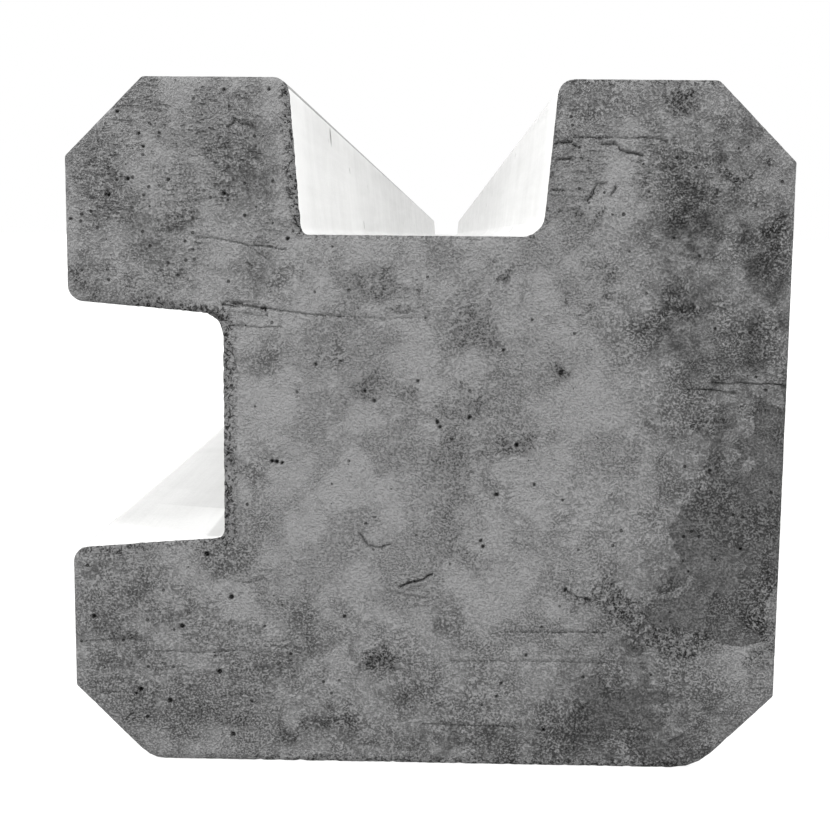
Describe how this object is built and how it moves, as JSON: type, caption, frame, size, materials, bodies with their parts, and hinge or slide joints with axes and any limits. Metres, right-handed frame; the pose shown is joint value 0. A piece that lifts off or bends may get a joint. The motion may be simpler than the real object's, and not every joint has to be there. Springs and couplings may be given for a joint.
{
  "type": "slotted concrete corner fence post",
  "caption": "Precast reinforced concrete corner fence post with chamfered edges; lengthwise slots in adjacent faces hold fence panels at a right angle.",
  "frame": {"origin": "middle of the underside: half way along the post and across its plain lower face", "axes": "+Y along the post from the head end to the foot end, which is set in the ground; +Z out of the top slot's mouth; the side slot opens towards -X"},
  "size_m": [0.125, 2.4, 0.121],
  "materials": {
    "concrete": "matte",
    "reinforcing_steel": "matte",
    "spacer_plastic": "satin"
  },
  "bodies": {
    "root": {"post_body": "concrete", "bar_upper_left": "reinforcing_steel", "bar_upper_right": "reinforcing_steel", "bar_lower_right": "reinforcing_steel", "bar_lower_left": "reinforcing_steel", "falling_rung_1": "reinforcing_steel", "falling_rung_2": "reinforcing_steel", "falling_rung_3": "reinforcing_steel", "falling_rung_4": "reinforcing_steel", "falling_rung_5": "reinforcing_steel", "falling_rung_6": "reinforcing_steel", "falling_rung_7": "reinforcing_steel", "falling_rung_8": "reinforcing_steel", "rising_rung_1": "reinforcing_steel", "rising_rung_2": "reinforcing_steel", "rising_rung_3": "reinforcing_steel", "rising_rung_4": "reinforcing_steel", "rising_rung_5": "reinforcing_steel", "rising_rung_6": "reinforcing_steel", "rising_rung_7": "reinforcing_steel", "rising_rung_8": "reinforcing_steel", "chair_upper_left_1": "spacer_plastic", "chair_upper_left_2": "spacer_plastic", "chair_upper_left_3": "spacer_plastic", "chair_upper_right_1": "spacer_plastic", "chair_upper_right_2": "spacer_plastic", "chair_upper_right_3": "spacer_plastic", "chair_lower_right_1": "spacer_plastic", "chair_lower_right_2": "spacer_plastic", "chair_lower_right_3": "spacer_plastic", "chair_lower_left_1": "spacer_plastic", "chair_lower_left_2": "spacer_plastic", "chair_lower_left_3": "spacer_plastic"}
  },
  "joints": []
}
